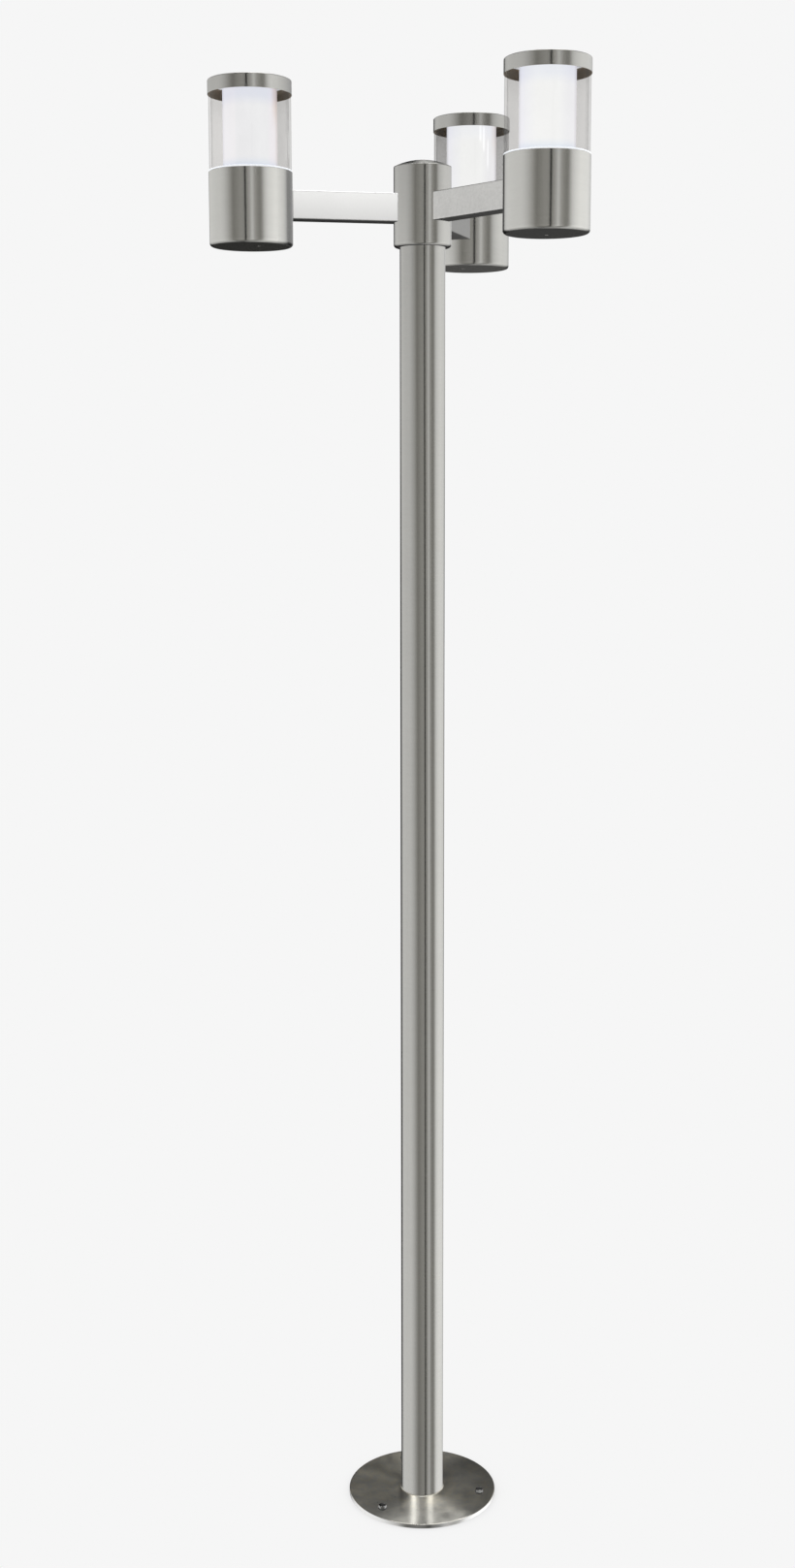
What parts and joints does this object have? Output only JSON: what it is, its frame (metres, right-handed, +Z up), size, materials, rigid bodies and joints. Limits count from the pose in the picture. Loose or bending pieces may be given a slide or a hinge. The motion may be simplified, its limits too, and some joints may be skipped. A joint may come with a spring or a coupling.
{
  "type": "street lamp post",
  "caption": "Tall slim stainless mast light: round ground plate, tubular pole, hub with radial arms, each arm holding an upright cylindrical lantern with a satin inner cylinder.",
  "frame": {"origin": "on the pole axis, at the underside of the ground plate", "axes": "+Z up along the pole; the left arm points along -X, the other arms at 300 and 60 degrees counted from +X towards +Y"},
  "size_m": [0.4485, 0.5012, 2.004],
  "materials": {
    "brushed_steel_tube": "circumferentially brushed stainless steel, satin",
    "satin_steel_plate": "satin-ground stainless steel, fine mottled grain",
    "zinc_fasteners": "plain stainless fasteners and fittings",
    "black_rubber": "matt black rubber",
    "white_silicone": "translucent white silicone",
    "white_ceramic": "glazed white ceramic",
    "white_plastic": "white moulded plastic",
    "satin_white": "satin-white light-diffusing acrylic",
    "clear_acrylic": "clear, very slightly grey cylinder",
    "bulb_metal": "bare aluminium screw shell",
    "frosted_bulb": "frosted white bulb"
  },
  "bodies": {
    "post": {"base_plate": "satin_steel_plate", "pole": "brushed_steel_tube", "pole_weld": "brushed_steel_tube", "ground_screws": "zinc_fasteners", "ground_washers": "zinc_fasteners", "cable_grommet": "black_rubber", "supply_cable": "black_rubber"},
    "crown": {"hub_body": "brushed_steel_tube", "hub_set_screws": "zinc_fasteners", "terminal_bracket": "zinc_fasteners", "terminal_block": "white_plastic", "bracket_screws": "zinc_fasteners", "cable_bushes": "black_rubber", "holder_posts": "zinc_fasteners", "holder_screws": "zinc_fasteners", "arm_left": "satin_steel_plate", "arm_cable_left": "black_rubber", "lantern_cup_left": "brushed_steel_tube", "cup_gasket_left": "white_silicone", "carrier_plate_left": "white_plastic", "ring_nut_left": "white_plastic", "lamp_holder_left": "white_ceramic", "satin_diffuser_left": "satin_white", "arm_right": "satin_steel_plate", "arm_cable_right": "black_rubber", "lantern_cup_right": "brushed_steel_tube", "cup_gasket_right": "white_silicone", "carrier_plate_right": "white_plastic", "ring_nut_right": "white_plastic", "lamp_holder_right": "white_ceramic", "satin_diffuser_right": "satin_white", "arm_rear": "satin_steel_plate", "arm_cable_rear": "black_rubber", "lantern_cup_rear": "brushed_steel_tube", "cup_gasket_rear": "white_silicone", "carrier_plate_rear": "white_plastic", "ring_nut_rear": "white_plastic", "lamp_holder_rear": "white_ceramic", "satin_diffuser_rear": "satin_white"},
    "hub_top": {"hub_cap": "brushed_steel_tube", "hub_cap_seal": "black_rubber"},
    "shade_left": {"clear_cylinder_left": "clear_acrylic", "cap_seal_left": "white_silicone", "lantern_cap_left": "brushed_steel_tube"},
    "bulb_left": {"bulb_base_left": "bulb_metal", "bulb_globe_left": "frosted_bulb"},
    "shade_right": {"clear_cylinder_right": "clear_acrylic", "cap_seal_right": "white_silicone", "lantern_cap_right": "brushed_steel_tube"},
    "bulb_right": {"bulb_base_right": "bulb_metal", "bulb_globe_right": "frosted_bulb"},
    "shade_rear": {"clear_cylinder_rear": "clear_acrylic", "cap_seal_rear": "white_silicone", "lantern_cap_rear": "brushed_steel_tube"},
    "bulb_rear": {"bulb_base_rear": "bulb_metal", "bulb_globe_rear": "frosted_bulb"}
  },
  "joints": [
    {"name": "crown_swivel", "type": "hinge", "parent": "post", "child": "crown", "pos_m": [0, 0, 1.78], "axis": [0, 0, 1], "range_deg": [-170, 170]},
    {"name": "hub_cap_lift", "type": "slide", "parent": "crown", "child": "hub_top", "axis": [0, 0, 1], "range_m": [0, 0.04]},
    {"name": "shade_lift_left", "type": "slide", "parent": "crown", "child": "shade_left", "axis": [0, 0, 1], "range_m": [0, 0.13]},
    {"name": "bulb_turn_left", "type": "hinge", "parent": "crown", "child": "bulb_left", "pos_m": [-0.227, 0, 1.84], "axis": [0, 0, 1], "range_deg": [0, 1080]},
    {"name": "shade_lift_right", "type": "slide", "parent": "crown", "child": "shade_right", "axis": [0, 0, 1], "range_m": [0, 0.13]},
    {"name": "bulb_turn_right", "type": "hinge", "parent": "crown", "child": "bulb_right", "pos_m": [0.1135, -0.19659, 1.84], "axis": [0, 0, 1], "range_deg": [0, 1080]},
    {"name": "shade_lift_rear", "type": "slide", "parent": "crown", "child": "shade_rear", "axis": [0, 0, 1], "range_m": [0, 0.13]},
    {"name": "bulb_turn_rear", "type": "hinge", "parent": "crown", "child": "bulb_rear", "pos_m": [0.1135, 0.19659, 1.84], "axis": [0, 0, 1], "range_deg": [0, 1080]}
  ]
}
